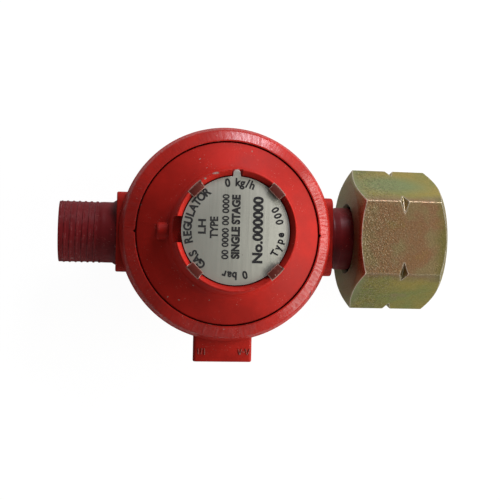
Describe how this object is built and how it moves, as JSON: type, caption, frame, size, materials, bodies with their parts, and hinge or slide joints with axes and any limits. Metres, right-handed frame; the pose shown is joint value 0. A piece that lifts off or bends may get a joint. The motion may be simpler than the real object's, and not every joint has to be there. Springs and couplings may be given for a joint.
{
  "type": "gas regulator",
  "caption": "Compact fixed-pressure gas regulator with a dished bonnet, captive union nut at the inlet and a threaded outlet nipple",
  "frame": {"origin": "on the bonnet axis, in the plane of the housing's flat back", "axes": "+X along the gas ports towards the union nut, +Z from the back up the bonnet, -Y towards the blank boss"},
  "size_m": [0.098, 0.0594, 0.0464],
  "materials": {
    "housing_paint": "gloss red stove enamel over a zinc die casting, chipped on its edges",
    "bonnet_paint": "gloss red stove enamel over a zinc die casting, with small chips",
    "port_paint": "thin dark red enamel over turned steel, worn on the thread crests",
    "label_metal": "satin aluminium with black print",
    "yellow_zinc": "yellow-passivated zinc plate with green and pink bloom",
    "zinc_steel": "bright zinc-plated pressed steel",
    "spring_steel": "oil-blackened spring steel",
    "turned_brass": "turned brass, unpolished",
    "black_rubber": "matt nitrile rubber",
    "steel_gauze": "perforated stainless steel"
  },
  "bodies": {
    "regulator_body": {"housing": "housing_paint", "bonnet": "bonnet_paint", "label_plate": "label_metal", "outlet_nipple": "port_paint", "inlet_tail": "port_paint", "retaining_ring": "spring_steel", "inlet_seal": "black_rubber", "inlet_strainer": "steel_gauze", "inlet_nozzle": "turned_brass", "nozzle_gasket": "black_rubber", "lever_pin": "spring_steel", "diaphragm": "black_rubber", "main_spring": "spring_steel"},
    "nut_washer": {"slip_washer": "zinc_steel"},
    "nut": {"union_nut": "yellow_zinc"},
    "diaphragm_core": {"diaphragm_stem": "turned_brass", "lower_diaphragm_plate": "zinc_steel", "upper_diaphragm_plate": "zinc_steel", "stem_nut": "zinc_steel"},
    "lever": {"valve_lever": "zinc_steel"},
    "plunger": {"valve_plunger": "turned_brass", "valve_seat_pad": "black_rubber"},
    "seat": {"spring_seat": "zinc_steel"},
    "plug": {"adjusting_plug": "turned_brass"}
  },
  "joints": [
    {"name": "nut_slide", "type": "slide", "parent": "regulator_body", "child": "nut_washer", "axis": [1, 0, 0], "range_m": [-0.0046, 0]},
    {"name": "nut_spin", "type": "hinge", "parent": "nut_washer", "child": "nut", "pos_m": [0.0445, 0, 0.016], "axis": [1, 0, 0], "continuous": true},
    {"name": "diaphragm_lift", "type": "slide", "parent": "regulator_body", "child": "diaphragm_core", "axis": [0, 0, 1], "range_m": [0, 0.0013], "stiffness_N_per_m": 4000, "springref_m": -0.002, "deforming": ["diaphragm", "main_spring"]},
    {"name": "lever_turn", "type": "hinge", "parent": "regulator_body", "child": "lever", "pos_m": [0.0075, 0, 0.01], "axis": [0, 1, 0], "range_deg": [0, 9.95]},
    {"name": "plunger_slide", "type": "slide", "parent": "regulator_body", "child": "plunger", "axis": [1, 0, 0], "range_m": [0, 0.00104]},
    {"name": "seat_slide", "type": "slide", "parent": "regulator_body", "child": "seat", "axis": [0, 0, 1], "range_m": [-0.0015, 0.0004], "deforming": ["main_spring"]},
    {"name": "plug_turn", "type": "hinge", "parent": "seat", "child": "plug", "pos_m": [0, 0, 0.0417], "axis": [0, 0, 1], "range_deg": [-360.5, 96.5]}
  ],
  "couplings": [
    {"joint": "lever_turn", "follows": "diaphragm_lift", "rad_per_m": 133.33},
    {"joint": "plunger_slide", "follows": "diaphragm_lift", "ratio": 0.8},
    {"joint": "plug_turn", "follows": "seat_slide", "rad_per_m": 4188.8}
  ]
}
